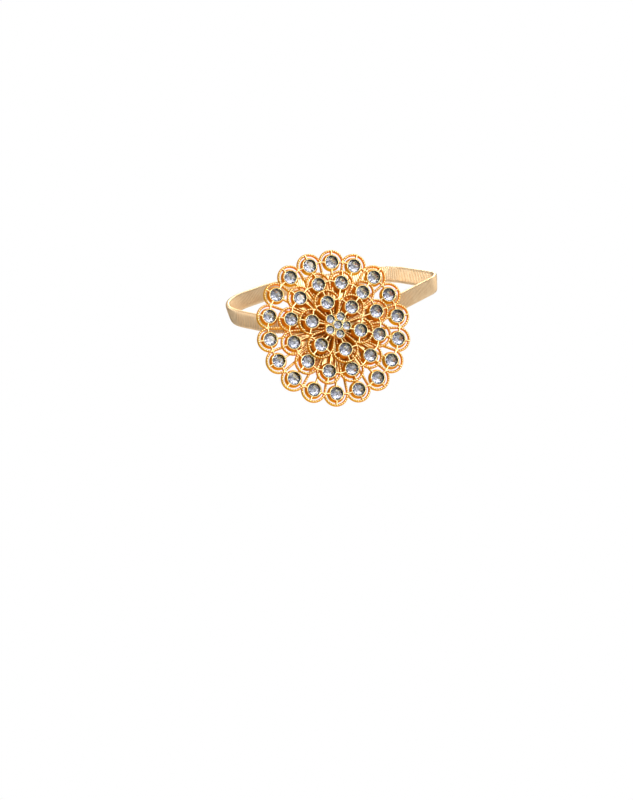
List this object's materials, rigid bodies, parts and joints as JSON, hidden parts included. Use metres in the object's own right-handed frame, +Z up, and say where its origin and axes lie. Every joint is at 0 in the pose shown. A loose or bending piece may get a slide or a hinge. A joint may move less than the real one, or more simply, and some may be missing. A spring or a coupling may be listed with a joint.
{
  "type": "curtain tieback",
  "caption": "Curtain tieback: a tiered filigree flower set with clear faceted stones, on a flat coil-spring band that loops round the gathered curtain and hooks behind the flower.",
  "frame": {"origin": "middle of the loop that the band makes round the gathered curtain", "axes": "+Z up along the gathered curtain, -Y towards the room, the way the flower faces, and +X to the right as seen from the room"},
  "size_m": [0.1022, 0.0758, 0.0724],
  "materials": {
    "flower_gold": "polished gold plate",
    "plate_gold": "satin gold plate",
    "spring_gold": "satin champagne gold",
    "fitting_gold": "satin gold plate",
    "screw_steel": "bright zinc",
    "stone": "faceted, foil-backed"
  },
  "bodies": {
    "root": {"back_plate": "plate_gold", "band": "spring_gold", "centre_screw": "screw_steel", "centre_stone_01": "stone", "fixed_ferrule": "fitting_gold", "hook_bar": "fitting_gold", "hook_ferrule": "fitting_gold", "inner_stone_01": "stone", "inner_stone_02": "stone", "inner_stone_03": "stone", "inner_stone_04": "stone", "inner_stone_05": "stone", "inner_stone_06": "stone", "inner_tier": "flower_gold", "middle_stone_01": "stone", "middle_stone_02": "stone", "middle_stone_03": "stone", "middle_stone_04": "stone", "middle_stone_05": "stone", "middle_stone_06": "stone", "middle_stone_07": "stone", "middle_stone_08": "stone", "middle_stone_09": "stone", "middle_stone_10": "stone", "middle_stone_11": "stone", "middle_stone_12": "stone", "middle_tier": "flower_gold", "outer_stone_01": "stone", "outer_stone_02": "stone", "outer_stone_03": "stone", "outer_stone_04": "stone", "outer_stone_05": "stone", "outer_stone_06": "stone", "outer_stone_07": "stone", "outer_stone_08": "stone", "outer_stone_09": "stone", "outer_stone_10": "stone", "outer_stone_11": "stone", "outer_stone_12": "stone", "outer_stone_13": "stone", "outer_stone_14": "stone", "outer_stone_15": "stone", "outer_stone_16": "stone", "outer_stone_17": "stone", "outer_stone_18": "stone", "outer_tier": "flower_gold", "rosette": "flower_gold", "rosette_stone_01": "stone", "rosette_stone_02": "stone", "rosette_stone_03": "stone", "rosette_stone_04": "stone", "rosette_stone_05": "stone"}
  },
  "joints": []
}
